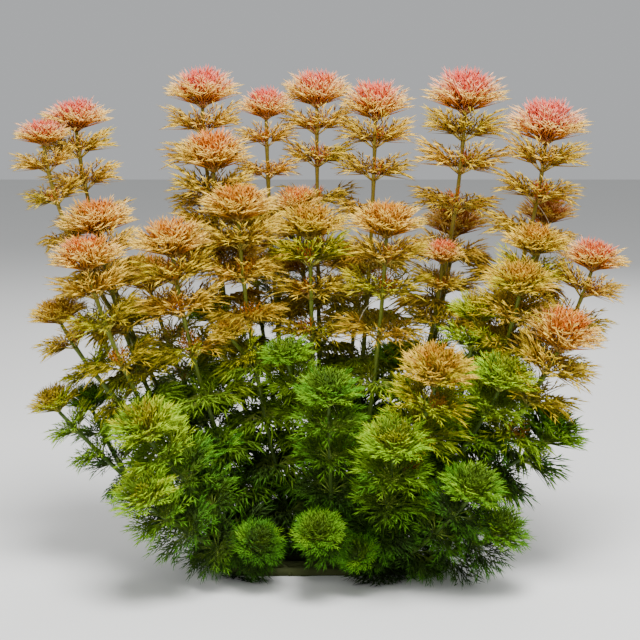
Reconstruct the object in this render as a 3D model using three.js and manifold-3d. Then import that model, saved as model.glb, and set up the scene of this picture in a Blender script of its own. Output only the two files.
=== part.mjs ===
// A bushy ambulia: many shoots of whorled, feathery leaves that rise from one creeping rootstock.
// Millimetres, +Z up. The plant stands on the flat cut under its rootstock, and +X runs along its width.
// Each whorl of leaves is one cup with a scalloped rim, as wide as its leaves reach, grown onto its stem.
import * as THREE from "three";
import { mergeVertices } from "three/addons/utils/BufferGeometryUtils.js";
import Module from "manifold-3d";

const wasm = await Module();
wasm.setup();

// Stems
const STEM_SIDES = 5;
const STEM_FOOT_RADIUS = 1.8;
const STEM_TIP_RADIUS = 1.2;
const CLEAR_GAP = 0.3;
const LONGEST_STRAIGHT = 60;

// The way a stem bends: it leans out first, then turns up to the light. Low shoots turn up less.
const LOW_SHOOT = 60;
const TALL_SHOOT = 260;
const LEAN_OF_LOW_SHOOT = 0.45;
const LEAN_OF_TALL_SHOOT = 0.9;
const BEND_OF_LOW_SHOOT = 0.35;
const BEND_OF_TALL_SHOOT = 0.55;

// Whorls of leaves, from the crown down. The distances between them grow, the leaves droop with age, and the
// rims of older whorls are plain.
const FIRST_INTERNODE = 16;
const INTERNODE_GROWTH = 1.25;
const LONGEST_INTERNODE = 30;
const WHORL_RADIUS_PER_CROWN = 1.1;
const DROOPS_FULLY_AFTER = 4;
const YOUNG_RIM_RISE = 0.42;
const OLD_RIM_RISE = -0.1;
const YOUNG_TOP_RISE = 0.52;
const OLD_TOP_RISE = 0.3;
const SCALLOP = 0.76;
const SCALLOPED_UNTIL = 1;
const BARE_FOOT = 0.4;
const LOWEST_NODE = 14;
const SMALLEST_WHORL = 0.53;

// Crowns, in parts of their own radius
const CROWN_RIM_RISE = 0.45;
const CROWN_SHOULDER_RADIUS = 0.62;
const CROWN_SHOULDER_RISE = 0.94;
const CROWN_TOP_RISE = 1.12;

// Creeping rootstock
const RUNNER_WIDTH = 7;
const RUNNER_HEIGHT = 5;
const CROSS_RUNNER_HEIGHT = 3.5;
const RUNNER_TAPER = 0.6;
const RUNNER_STEP = 46;

// How leaves give way to their neighbours
const LEAF_STEP = 1.5;
const LEAF_CLEARANCE = 0.9;
const GROUND_CLEARANCE = 2;
const LOOKS_UP = 4;
const LOOKS_ROUND = 40;
const STEM_LOOKS = 24;
const SHORTEST_LEAF = 2.7;
const MERGE_DISTANCE = 1e-4;

// Every shoot: the foot on the rootstock, the stem's tip under its crown, and the crown's radius.
// A side shoot leaves the stem above it in the list at a part of that stem's length.
const SHOOTS = [
  { foot: [-42, 10], tip: [-149, 35, 261], crown: 22, side: [{ at: 0.5, tip: [-166, 18, 253], crown: 18 }] },
  { foot: [-25, 12], tip: [-72, 40, 275], crown: 23,
    side: [{ at: 0.55, tip: [-64, 16, 237], crown: 24 }, { at: 0.38, tip: [-66, 14, 146], crown: 15 }] },
  { foot: [-11, 14], tip: [-33, 38, 268], crown: 18, side: [{ at: 0.5, tip: [-26, 60, 172], crown: 15 }] },
  { foot: [2, 14], tip: [-2, 48, 275], crown: 22, side: [{ at: 0.45, tip: [-14, 30, 210], crown: 17 }] },
  { foot: [15, 14], tip: [34, 40, 267], crown: 23, side: [{ at: 0.3, tip: [46, 22, 116], crown: 17 }] },
  { foot: [29, 12], tip: [89, 40, 271], crown: 26,
    side: [{ at: 0.45, tip: [74, 14, 182], crown: 14 }, { at: 0.3, tip: [84, 30, 104], crown: 18 }] },
  { foot: [43, 10], tip: [137, 28, 253], crown: 26, side: [{ at: 0.5, tip: [141, 48, 202], crown: 19 }] },
  { foot: [-47, -1], tip: [-132, 2, 200], crown: 24, side: [{ at: 0.35, tip: [-90, 16, 92], crown: 18 }] },
  { foot: [-42, -13], tip: [-134, -28, 182], crown: 23,
    side: [{ at: 0.45, tip: [-153, -12, 149], crown: 18 }] },
  { foot: [-31, -3], tip: [-86, -17, 189], crown: 26, side: [{ at: 0.3, tip: [-60, -22, 74], crown: 16 }] },
  { foot: [-13, 1], tip: [-48, -8, 209], crown: 24, side: [{ at: 0.6, tip: [-52, -20, 142], crown: 13 }] },
  { foot: [1, 1], tip: [-6, 2, 198], crown: 24, side: [{ at: 0.4, tip: [-19, -28, 129], crown: 17 }] },
  { foot: [16, 1], tip: [39, -12, 200], crown: 24, side: [{ at: 0.3, tip: [16, -24, 82], crown: 17 }] },
  { foot: [34, 0], tip: [127, -4, 189], crown: 21, side: [{ at: 0.55, tip: [115, -32, 169], crown: 22 }] },
  { foot: [49, -2], tip: [162, 0, 179], crown: 21, side: [{ at: 0.35, tip: [98, 4, 86], crown: 18 }] },
  { foot: [46, -13], tip: [137, -38, 137], crown: 25, side: [{ at: 0.4, tip: [132, -20, 78], crown: 24 }] },
  { foot: [21, -13], tip: [64, -66, 122], crown: 23, side: [{ at: 0.35, tip: [60, -28, 66], crown: 17 }] },
  { foot: [33, -12], tip: [102, -48, 116], crown: 21, side: [{ at: 0.4, tip: [92, -18, 150], crown: 18 }] },
  { foot: [-56, -8], tip: [-155, -16, 97], crown: 16, side: [{ at: 0.55, tip: [-138, 4, 93], crown: 17 }] },
  { foot: [-28, -14], tip: [-95, -67, 91], crown: 23,
    side: [{ at: 0.4, tip: [-76, -38, 62], crown: 18 }, { at: 0.2, tip: [-36, -54, 24], crown: 16 }] },
  { foot: [8, -15], tip: [5, -70, 112], crown: 20, side: [{ at: 0.25, tip: [0, -72, 36], crown: 16 }] },
  { foot: [34, -25], tip: [41, -77, 84], crown: 22, side: [{ at: 0.25, tip: [24, -62, 22], crown: 13 }] },
  { foot: [44, -24], tip: [83, -74, 59], crown: 20, side: [] },
  { foot: [-40, -25], tip: [-95, -80, 57], crown: 20, side: [] },
  { foot: [54, -14], tip: [99, -60, 32], crown: 20, side: [] },
  { foot: [-28, 24], tip: [-108, 62, 158], crown: 23, side: [{ at: 0.4, tip: [-72, 74, 92], crown: 19 }] },
  { foot: [-10, 26], tip: [-44, 80, 196], crown: 23, side: [] },
  { foot: [8, 26], tip: [24, 84, 164], crown: 23, side: [{ at: 0.4, tip: [4, 86, 88], crown: 19 }] },
  { foot: [27, 24], tip: [86, 72, 192], crown: 23, side: [{ at: 0.4, tip: [106, 60, 108], crown: 20 }] },
];

// Creeping stems of the rootstock: one through each row of feet, and thinner ones that join the rows.
const RUNNERS = [
  [[-36, 22], [-10, 26], [8, 26], [36, 22]],
  [[-50, 9], [-11, 14], [15, 14], [51, 8]],
  [[-56, -1], [-13, 1], [16, 1], [57, -4]],
  [[-63, -5], [-42, -13], [21, -14], [63, -15]],
  [[-48, -23], [-28, -27], [34, -25], [52, -22]],
];
const CROSS_RUNNERS = [
  [[-20, 29], [-24, 1], [-18, -30]],
  [[24, 29], [26, 1], [22, -30]],
];

const PINK = new THREE.Color(0xdc7f74);
const ORANGE = new THREE.Color(0xc27a35);
const GREEN = new THREE.Color(0x6f9a2a);
const OLIVE = new THREE.Color(0x55662a);
const ROOT_BROWN = new THREE.Color(0x6b5a3a);
const PINK_FROM = 230;
const ORANGE_FROM = 118;
const LEAF_ROUGHNESS = 0.6;
const ROOT_ROUGHNESS = 0.8;

const UP = new THREE.Vector3(0, 0, 1);
const GOLDEN_ANGLE = THREE.MathUtils.degToRad(137.5);
const GOLDEN_ANGLES_PER_SHOOT = 3;

// The colour of young leaves, by the height they have grown to.
function youngLeafColour(height) {
  if (height >= PINK_FROM) return PINK;
  return height >= ORANGE_FROM ? ORANGE : GREEN;
}

// A stem's curve from its foot to its tip: out first, then up.
function stemCurve(foot, tip) {
  const tall = THREE.MathUtils.smoothstep(tip.z, LOW_SHOOT, TALL_SHOOT);
  const rise = THREE.MathUtils.lerp(BEND_OF_LOW_SHOOT, BEND_OF_TALL_SHOOT, tall);
  const lean = THREE.MathUtils.lerp(LEAN_OF_LOW_SHOOT, LEAN_OF_TALL_SHOOT, tall);
  const bend = new THREE.Vector3(
    THREE.MathUtils.lerp(foot.x, tip.x, lean),
    THREE.MathUtils.lerp(foot.y, tip.y, lean),
    THREE.MathUtils.lerp(foot.z, tip.z, rise),
  );
  return new THREE.QuadraticBezierCurve3(foot, bend, tip);
}

// Place, direction and two cross directions at a part of a stem's length.
function placeOn(stem, part) {
  const at = THREE.MathUtils.clamp(part, 0, 1);
  const point = stem.curve.getPointAt(at);
  const axis = stem.curve.getTangentAt(at);
  const start = new THREE.Vector3(Math.cos(stem.turn), Math.sin(stem.turn), 0);
  const side = start.addScaledVector(axis, -start.dot(axis)).normalize();
  const ahead = new THREE.Vector3().crossVectors(axis, side);
  return { point, axis, side, ahead };
}

// The point at a height, a radius and an angle about a place.
function pointAbout(place, height, radius, angle) {
  return place.point
    .clone()
    .addScaledVector(place.axis, height)
    .addScaledVector(place.side, radius * Math.cos(angle))
    .addScaledVector(place.ahead, radius * Math.sin(angle));
}

function ringAbout(place, height, radius, count) {
  const angles = Array.from({ length: count }, (_, i) => (2 * Math.PI * i) / count);
  return angles.map((angle) => pointAbout(place, height, radius, angle));
}

function stemRadius(part) {
  return THREE.MathUtils.lerp(STEM_FOOT_RADIUS, STEM_TIP_RADIUS, part);
}

// A rosette is a whorl or a crown: its place, full radius, age in whorls below the crown, and leaf lengths.
function makeRosette(stem, part, radius, age) {
  const place = placeOn(stem, part);
  const old = Math.min(age / DROOPS_FULLY_AFTER, 1);
  const isCrown = age === 0;
  const rim = isCrown ? CROWN_RIM_RISE : THREE.MathUtils.lerp(YOUNG_RIM_RISE, OLD_RIM_RISE, old);
  const top = isCrown ? CROWN_TOP_RISE : THREE.MathUtils.lerp(YOUNG_TOP_RISE, OLD_TOP_RISE, old);
  const scalloped = age <= SCALLOPED_UNTIL;
  const count = scalloped ? 2 * STEM_SIDES : STEM_SIDES;
  const lengths = Array.from({ length: count }, (_, i) => radius * (scalloped && i % 2 ? SCALLOP : 1));
  return { stem, part, place, radius, isCrown, rim, top, lengths };
}

function underside(rosette, radius) {
  return rosette.rim * radius;
}

function topside(rosette, radius) {
  const full = rosette.radius;
  const t = Math.min(radius / full, 1);
  if (!rosette.isCrown) return full * THREE.MathUtils.lerp(rosette.top, rosette.rim, t);
  if (t < CROWN_SHOULDER_RADIUS) {
    return full * THREE.MathUtils.lerp(CROWN_TOP_RISE, CROWN_SHOULDER_RISE, t / CROWN_SHOULDER_RADIUS);
  }
  const past = (t - CROWN_SHOULDER_RADIUS) / (1 - CROWN_SHOULDER_RADIUS);
  return full * THREE.MathUtils.lerp(CROWN_SHOULDER_RISE, CROWN_RIM_RISE, past);
}

// The reach of a rosette's leaves in a direction, between two neighbouring rim points.
function reachAt(rosette, angle) {
  const count = rosette.lengths.length;
  const position = (((angle / (2 * Math.PI)) * count) % count + count) % count;
  const low = Math.floor(position) % count;
  return THREE.MathUtils.lerp(rosette.lengths[low], rosette.lengths[(low + 1) % count], position % 1);
}

function holds(rosette, point) {
  const from = point.clone().sub(rosette.place.point);
  const height = from.dot(rosette.place.axis);
  const x = from.dot(rosette.place.side);
  const y = from.dot(rosette.place.ahead);
  const radius = Math.hypot(x, y);
  if (radius > rosette.radius + LEAF_CLEARANCE) return false;
  if (radius > reachAt(rosette, Math.atan2(y, x)) + LEAF_CLEARANCE) return false;
  const low = underside(rosette, radius) - LEAF_CLEARANCE;
  const high = topside(rosette, radius) + LEAF_CLEARANCE;
  return height > low && height < high;
}

function nearStem(stem, point) {
  const line = new THREE.Line3();
  const nearest = new THREE.Vector3();
  for (let i = 1; i < stem.points.length; i += 1) {
    line.set(stem.points[i - 1], stem.points[i]);
    line.closestPointToPoint(point, true, nearest);
    if (nearest.distanceTo(point) < STEM_FOOT_RADIUS + LEAF_CLEARANCE) return true;
  }
  return false;
}

// How far a leaf may grow in a direction before it meets a stem or a leaf that is already there.
function roomFor(rosette, angle, stems, others) {
  for (let radius = LEAF_STEP * 2; radius < rosette.radius; radius += LEAF_STEP) {
    const low = underside(rosette, radius);
    const high = topside(rosette, radius);
    for (let i = 0; i <= LOOKS_UP; i += 1) {
      const height = THREE.MathUtils.lerp(low, high, i / LOOKS_UP);
      const point = pointAbout(rosette.place, height, radius, angle);
      if (point.z < GROUND_CLEARANCE) return radius - LEAF_STEP;
      if (stems.some((stem) => nearStem(stem, point))) return radius - LEAF_STEP;
      if (others.some((other) => holds(other, point))) return radius - LEAF_STEP;
    }
  }
  return rosette.radius;
}

function fitAmong(rosette, stems, placed) {
  const reach = rosette.radius * (1 + CROWN_TOP_RISE);
  const middle = rosette.place.point;
  const stemsNear = stems.filter(
    (stem) => stem !== rosette.stem
      && stem.points.some((point) => point.distanceTo(middle) < reach + stem.stride),
  );
  const othersNear = placed.filter(
    (other) => other.stem !== rosette.stem
      && other.place.point.distanceTo(middle) < reach + other.radius * (1 + CROWN_TOP_RISE),
  );
  const count = rosette.lengths.length;
  const looksPerLeaf = LOOKS_ROUND / count;
  for (let i = 0; i < LOOKS_ROUND; i += 1) {
    const angle = (2 * Math.PI * i) / LOOKS_ROUND;
    const room = roomFor(rosette, angle, stemsNear, othersNear);
    const low = Math.floor(i / looksPerLeaf);
    const near = i % looksPerLeaf ? [low, (low + 1) % count] : [low];
    near.forEach((k) => {
      rosette.lengths[k] = Math.min(rosette.lengths[k], Math.max(room, SHORTEST_LEAF));
    });
  }
}

function meanLength(rosette) {
  return rosette.lengths.reduce((sum, length) => sum + length, 0) / rosette.lengths.length;
}

function rimOf(rosette) {
  const count = rosette.lengths.length;
  return rosette.lengths.map((length, i) => {
    const angle = (2 * Math.PI * i) / count;
    return pointAbout(rosette.place, underside(rosette, length), length, angle);
  });
}

// Triangles between two rings, where one may have twice as many points as the other.
function band(lower, upper) {
  const [n, m] = [lower.length, upper.length];
  const faces = [];
  for (let i = 0; i < Math.min(n, m); i += 1) {
    const next = (i + 1) % Math.min(n, m);
    if (n === m) {
      faces.push([lower[i], lower[next], upper[next]], [lower[i], upper[next], upper[i]]);
    } else if (m > n) {
      const [left, middle, right] = [upper[2 * i], upper[2 * i + 1], upper[(2 * i + 2) % m]];
      faces.push([lower[i], lower[next], middle], [lower[i], middle, left], [lower[next], right, middle]);
    } else {
      const [left, middle, right] = [lower[2 * i], lower[2 * i + 1], lower[(2 * i + 2) % n]];
      faces.push([left, middle, upper[i]], [middle, right, upper[next]], [middle, upper[next], upper[i]]);
    }
  }
  return faces;
}

function pointedEnd(ring, apex) {
  return ring.map((point, i) => [point, ring[(i + 1) % ring.length], apex]);
}

function flatEnd(ring, facingUp) {
  const faces = [];
  for (let i = 2; i < ring.length; i += 1) {
    faces.push(facingUp ? [ring[0], ring[i - 1], ring[i]] : [ring[0], ring[i], ring[i - 1]]);
  }
  return faces;
}

// One closed surface through a run of rings, ending flat below and in a flat end or a point above.
function skin(rings, apex) {
  const faces = flatEnd(rings[0], false);
  for (let i = 1; i < rings.length; i += 1) faces.push(...band(rings[i - 1], rings[i]));
  const last = rings[rings.length - 1];
  faces.push(...(apex ? pointedEnd(last, apex) : flatEnd(last, true)));
  const geometry = new THREE.BufferGeometry().setFromPoints(faces.flat());
  return mergeVertices(geometry, MERGE_DISTANCE);
}

function crownRings(crown) {
  const shoulder = crown.lengths.map((length, i) => {
    const angle = (2 * Math.PI * i) / crown.lengths.length;
    const rise = underside(crown, length) + (CROWN_SHOULDER_RISE - CROWN_RIM_RISE) * length;
    return pointAbout(crown.place, rise, CROWN_SHOULDER_RADIUS * length, angle);
  });
  return [ringAbout(crown.place, 0, STEM_TIP_RADIUS, STEM_SIDES), rimOf(crown), shoulder];
}

function crownTop(crown) {
  return pointAbout(crown.place, CROWN_TOP_RISE * crown.radius, 0, 0);
}

// A main stem's foot is cut level, to stand on the rootstock. A side shoot's is square to the shoot.
function footRing(stem) {
  const foot = placeOn(stem, 0);
  if (stem.isSide) return ringAbout(foot, 0, stemRadius(0), STEM_SIDES);
  const side = new THREE.Vector3(Math.cos(stem.turn), Math.sin(stem.turn), 0);
  const ahead = new THREE.Vector3().crossVectors(UP, side);
  return ringAbout({ point: foot.point, axis: UP, side, ahead }, 0, stemRadius(0), STEM_SIDES);
}

// The parts of a stem where it has a plain ring: at forks, and along stretches too long to run straight.
function bendsOf(stem, taken) {
  const length = stem.curve.getLength();
  const bends = [...stem.forks];
  for (let i = 1; i < taken.length; i += 1) {
    const count = Math.floor(((taken[i] - taken[i - 1]) * length) / LONGEST_STRAIGHT);
    for (let k = 1; k <= count; k += 1) {
      bends.push(THREE.MathUtils.lerp(taken[i - 1], taken[i], k / (count + 1)));
    }
  }
  return bends;
}

// A stem with its whorls, as one surface. A side shoot carries its own crown.
function stemGeometry(stem) {
  const length = stem.curve.getLength();
  const stops = stem.whorls.map((whorl) => ({ part: whorl.part, whorl }));
  bendsOf(stem, [0, ...stem.whorls.map((whorl) => whorl.part), 1]).forEach((part) => stops.push({ part }));
  stops.sort((a, b) => a.part - b.part);
  const rings = [footRing(stem)];
  let reached = 0;
  stops.forEach(({ part, whorl }) => {
    if (part < reached) return;
    rings.push(ringAbout(placeOn(stem, part), 0, stemRadius(part), STEM_SIDES));
    reached = part + CLEAR_GAP / length;
    if (!whorl) return;
    const above = part + (whorl.top * whorl.radius) / length;
    rings.push(rimOf(whorl));
    rings.push(ringAbout(placeOn(stem, above), 0, stemRadius(above), STEM_SIDES));
    reached = above;
  });
  if (stem.isSide) {
    rings.push(...crownRings(stem.crown));
    return skin(rings, crownTop(stem.crown));
  }
  rings.push(ringAbout(placeOn(stem, 1), -CLEAR_GAP, STEM_TIP_RADIUS, STEM_SIDES));
  return skin(rings);
}

function crownGeometry(crown) {
  return skin(crownRings(crown), crownTop(crown));
}

function solidOf(geometry) {
  const bare = geometry.clone();
  bare.deleteAttribute("normal");
  bare.deleteAttribute("uv");
  const merged = mergeVertices(bare, MERGE_DISTANCE);
  return new wasm.Manifold(
    new wasm.Mesh({
      numProp: 3,
      vertProperties: new Float32Array(merged.attributes.position.array),
      triVerts: new Uint32Array(merged.index.array),
    }),
  );
}

function geometryOf(solid) {
  const mesh = solid.getMesh();
  return new THREE.BufferGeometry()
    .setAttribute("position", new THREE.BufferAttribute(mesh.vertProperties, 3))
    .setIndex(new THREE.BufferAttribute(mesh.triVerts, 1));
}

function joined(geometries) {
  const solids = geometries.map(solidOf);
  return geometryOf(solids.slice(1).reduce((sum, solid) => sum.add(solid), solids[0]));
}

// The whorls of a stem, from the foot up, as far apart as their age makes them.
function whorlsOf(stem, crownRadius) {
  const length = stem.curve.getLength();
  const radius = crownRadius * WHORL_RADIUS_PER_CROWN;
  const whorls = [];
  let internode = FIRST_INTERNODE;
  let down = internode;
  while (down < length * (1 - BARE_FOOT)) {
    const whorl = makeRosette(stem, 1 - down / length, radius, whorls.length + 1);
    if (whorl.place.point.z < LOWEST_NODE) break;
    whorls.unshift(whorl);
    internode = Math.min(internode * INTERNODE_GROWTH, LONGEST_INTERNODE);
    down += internode;
  }
  return whorls;
}

function growStem(owner, foot, tip, crownRadius, forks, isSide) {
  const curve = stemCurve(foot, tip);
  const points = curve.getSpacedPoints(STEM_LOOKS);
  const stride = points[0].distanceTo(points[1]);
  const turn = GOLDEN_ANGLE * (GOLDEN_ANGLES_PER_SHOOT * owner + (isSide ? 1 : 0));
  const stem = { owner, curve, points, stride, forks, isSide, turn };
  stem.whorls = whorlsOf(stem, crownRadius);
  stem.crown = makeRosette(stem, 1, crownRadius, 0);
  return stem;
}

// All stems: each main one is followed by its side shoots.
function growStems() {
  return SHOOTS.flatMap((shoot, owner) => {
    const foot = new THREE.Vector3(...shoot.foot, RUNNER_HEIGHT + CLEAR_GAP);
    const forks = shoot.side.map((side) => side.at);
    const main = growStem(owner, foot, new THREE.Vector3(...shoot.tip), shoot.crown, forks, false);
    const sides = shoot.side.map((side) => {
      const fork = main.curve.getPointAt(side.at);
      return growStem(owner, fork, new THREE.Vector3(...side.tip), side.crown, [], true);
    });
    return [main, ...sides];
  });
}

// Crowns take their room first, then the whorls from the top down.
function giveWay(stems) {
  const placed = [];
  stems.forEach((stem) => {
    fitAmong(stem.crown, stems, placed);
    placed.push(stem.crown);
  });
  const whorls = stems.flatMap((stem) => stem.whorls);
  whorls.sort((a, b) => b.part * b.place.point.z - a.part * a.place.point.z);
  whorls.forEach((whorl) => {
    fitAmong(whorl, stems, placed);
    if (meanLength(whorl) > SMALLEST_WHORL * whorl.radius) placed.push(whorl);
  });
  stems.forEach((stem) => {
    stem.whorls = stem.whorls.filter((whorl) => placed.includes(whorl));
  });
}

// A creeping stem, flat below and narrower above, along a row of spots on the ground.
function runnerGeometry(spots, height) {
  const path = new THREE.CatmullRomCurve3(spots.map(([x, y]) => new THREE.Vector3(x, y, 0)));
  const half = RUNNER_WIDTH / 2;
  const section = new THREE.Shape([
    new THREE.Vector2(0, -half),
    new THREE.Vector2(0, half),
    new THREE.Vector2(-height, half * RUNNER_TAPER),
    new THREE.Vector2(-height, -half * RUNNER_TAPER),
  ]);
  const steps = Math.round(path.getLength() / RUNNER_STEP);
  return new THREE.ExtrudeGeometry(section, { steps, extrudePath: path, bevelEnabled: false });
}

function rootstockGeometry() {
  const rows = RUNNERS.map((spots) => runnerGeometry(spots, RUNNER_HEIGHT));
  const crossings = CROSS_RUNNERS.map((spots) => runnerGeometry(spots, CROSS_RUNNER_HEIGHT));
  return joined([...rows, ...crossings]);
}

function named(name, geometry, colour, roughness) {
  const material = new THREE.MeshStandardMaterial({ color: colour, roughness, flatShading: true });
  const mesh = new THREE.Mesh(geometry, material);
  mesh.name = name;
  return mesh;
}

const number = (owner) => String(owner + 1).padStart(2, "0");

const stems = growStems();
giveWay(stems);

const plant = new THREE.Group();
plant.add(named("rootstock", rootstockGeometry(), ROOT_BROWN, ROOT_ROUGHNESS));
SHOOTS.forEach((shoot, owner) => {
  const own = stems.filter((stem) => stem.owner === owner);
  const colour = youngLeafColour(own[0].crown.place.point.z);
  plant.add(named(`stem_${number(owner)}`, joined(own.map(stemGeometry)), OLIVE, LEAF_ROUGHNESS));
  plant.add(named(`crown_${number(owner)}`, crownGeometry(own[0].crown), colour, LEAF_ROUGHNESS));
});

export default plant;
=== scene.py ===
import math

import bmesh
import bpy
import numpy as np
from mathutils import Matrix, Quaternion, Vector


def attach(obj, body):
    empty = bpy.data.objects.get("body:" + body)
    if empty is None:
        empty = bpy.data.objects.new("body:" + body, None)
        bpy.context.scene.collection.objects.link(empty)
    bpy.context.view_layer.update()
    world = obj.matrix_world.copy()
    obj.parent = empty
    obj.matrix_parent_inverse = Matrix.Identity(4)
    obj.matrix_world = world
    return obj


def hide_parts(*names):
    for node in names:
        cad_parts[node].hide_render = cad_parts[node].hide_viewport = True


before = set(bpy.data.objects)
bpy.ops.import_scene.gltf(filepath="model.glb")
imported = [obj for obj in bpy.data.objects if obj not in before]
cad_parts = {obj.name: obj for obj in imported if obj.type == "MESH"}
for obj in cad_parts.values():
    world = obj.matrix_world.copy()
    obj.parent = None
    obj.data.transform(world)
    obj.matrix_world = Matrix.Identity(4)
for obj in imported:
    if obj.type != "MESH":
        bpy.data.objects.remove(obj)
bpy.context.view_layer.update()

MM = 0.001

# Every shoot as it grows in the solids, in millimetres: the foot on the rootstock, the stem's tip and the
# crown's radius. Its side shoots leave it at a share of its length. Warmth is the colour of its young leaves,
# from 0 for deep green over gold and orange to 1 for coral pink.
SHOOTS = [
    {"foot": (-42, 10), "tip": (-149, 35, 261), "crown": 22, "warmth": 0.97,
     "sides": [{"at": 0.5, "tip": (-166, 18, 253), "crown": 18, "warmth": 0.93}]},
    {"foot": (-25, 12), "tip": (-72, 40, 275), "crown": 23, "warmth": 0.95,
     "sides": [{"at": 0.55, "tip": (-64, 16, 237), "crown": 24, "warmth": 0.72},
               {"at": 0.38, "tip": (-66, 14, 146), "crown": 15, "warmth": 0.3}]},
    {"foot": (-11, 14), "tip": (-33, 38, 268), "crown": 18, "warmth": 0.95,
     "sides": [{"at": 0.5, "tip": (-26, 60, 172), "crown": 15, "warmth": 0.26}]},
    {"foot": (2, 14), "tip": (-2, 48, 275), "crown": 22, "warmth": 0.9,
     "sides": [{"at": 0.45, "tip": (-14, 30, 210), "crown": 17, "warmth": 0.7}]},
    {"foot": (15, 14), "tip": (34, 40, 267), "crown": 23, "warmth": 0.9,
     "sides": [{"at": 0.3, "tip": (46, 22, 116), "crown": 17, "warmth": 0.2}]},
    {"foot": (29, 12), "tip": (89, 40, 271), "crown": 26, "warmth": 1.0,
     "sides": [{"at": 0.45, "tip": (74, 14, 182), "crown": 14, "warmth": 0.84},
               {"at": 0.3, "tip": (84, 30, 104), "crown": 18, "warmth": 0.2}]},
    {"foot": (43, 10), "tip": (137, 28, 253), "crown": 26, "warmth": 1.0,
     "sides": [{"at": 0.5, "tip": (141, 48, 202), "crown": 19, "warmth": 0.84}]},
    {"foot": (-47, -1), "tip": (-132, 2, 200), "crown": 24, "warmth": 0.68,
     "sides": [{"at": 0.35, "tip": (-90, 16, 92), "crown": 18, "warmth": 0.18}]},
    {"foot": (-42, -13), "tip": (-134, -28, 182), "crown": 23, "warmth": 0.74,
     "sides": [{"at": 0.45, "tip": (-153, -12, 149), "crown": 18, "warmth": 0.54}]},
    {"foot": (-31, -3), "tip": (-86, -17, 189), "crown": 26, "warmth": 0.63,
     "sides": [{"at": 0.3, "tip": (-60, -22, 74), "crown": 16, "warmth": 0.16}]},
    {"foot": (-13, 1), "tip": (-48, -8, 209), "crown": 24, "warmth": 0.63,
     "sides": [{"at": 0.6, "tip": (-52, -20, 142), "crown": 13, "warmth": 0.5}]},
    {"foot": (1, 1), "tip": (-6, 2, 198), "crown": 24, "warmth": 0.52,
     "sides": [{"at": 0.4, "tip": (-19, -28, 129), "crown": 17, "warmth": 0.22}]},
    {"foot": (16, 1), "tip": (39, -12, 200), "crown": 24, "warmth": 0.61,
     "sides": [{"at": 0.3, "tip": (16, -24, 82), "crown": 17, "warmth": 0.14}]},
    {"foot": (34, 0), "tip": (127, -4, 189), "crown": 21, "warmth": 0.53,
     "sides": [{"at": 0.55, "tip": (115, -32, 169), "crown": 22, "warmth": 0.5}]},
    {"foot": (49, -2), "tip": (162, 0, 179), "crown": 21, "warmth": 0.86,
     "sides": [{"at": 0.35, "tip": (98, 4, 86), "crown": 18, "warmth": 0.16}]},
    {"foot": (46, -13), "tip": (137, -38, 137), "crown": 25, "warmth": 0.72,
     "sides": [{"at": 0.4, "tip": (132, -20, 78), "crown": 24, "warmth": 0.2}]},
    {"foot": (21, -13), "tip": (64, -66, 122), "crown": 23, "warmth": 0.51,
     "sides": [{"at": 0.35, "tip": (60, -28, 66), "crown": 17, "warmth": 0.14}]},
    {"foot": (33, -12), "tip": (102, -48, 116), "crown": 21, "warmth": 0.32,
     "sides": [{"at": 0.4, "tip": (92, -18, 150), "crown": 18, "warmth": 0.4}]},
    {"foot": (-56, -8), "tip": (-155, -16, 97), "crown": 16, "warmth": 0.42,
     "sides": [{"at": 0.55, "tip": (-138, 4, 93), "crown": 17, "warmth": 0.2}]},
    {"foot": (-28, -14), "tip": (-95, -67, 91), "crown": 23, "warmth": 0.34,
     "sides": [{"at": 0.4, "tip": (-76, -38, 62), "crown": 18, "warmth": 0.16},
               {"at": 0.2, "tip": (-36, -54, 24), "crown": 16, "warmth": 0.12}]},
    {"foot": (8, -15), "tip": (5, -70, 112), "crown": 20, "warmth": 0.17,
     "sides": [{"at": 0.25, "tip": (0, -72, 36), "crown": 16, "warmth": 0.2}]},
    {"foot": (34, -25), "tip": (41, -77, 84), "crown": 22, "warmth": 0.3,
     "sides": [{"at": 0.25, "tip": (24, -62, 22), "crown": 13, "warmth": 0.14}]},
    {"foot": (44, -24), "tip": (83, -74, 59), "crown": 20, "warmth": 0.2, "sides": []},
    {"foot": (-40, -25), "tip": (-95, -80, 57), "crown": 20, "warmth": 0.28, "sides": []},
    {"foot": (54, -14), "tip": (99, -60, 32), "crown": 20, "warmth": 0.18, "sides": []},
    {"foot": (-28, 24), "tip": (-108, 62, 158), "crown": 23, "warmth": 0.6,
     "sides": [{"at": 0.4, "tip": (-72, 74, 92), "crown": 19, "warmth": 0.25}]},
    {"foot": (-10, 26), "tip": (-44, 80, 196), "crown": 23, "warmth": 0.72, "sides": []},
    {"foot": (8, 26), "tip": (24, 84, 164), "crown": 23, "warmth": 0.62,
     "sides": [{"at": 0.4, "tip": (4, 86, 88), "crown": 19, "warmth": 0.22}]},
    {"foot": (27, 24), "tip": (86, 72, 192), "crown": 23, "warmth": 0.72,
     "sides": [{"at": 0.4, "tip": (106, 60, 108), "crown": 20, "warmth": 0.3}]},
]

# How thick a stem is and how it bends, as in the solids, in millimetres. Leans and bends say where the
# curve's middle point lies between foot and tip, outwards and upwards, for a low and for a tall shoot.
STEM_FOOT_HEIGHT = 5.3
STEM_FOOT_RADIUS = 1.8
STEM_TIP_RADIUS = 1.2
LOW_SHOOT = 60
TALL_SHOOT = 260
LEANS = (0.45, 0.9)
BENDS = (0.35, 0.55)
CURVE_STEPS = 400

# How far to either side of a spot a stem's direction is measured, as a share of its length
AXIS_REACH = 0.004

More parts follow.
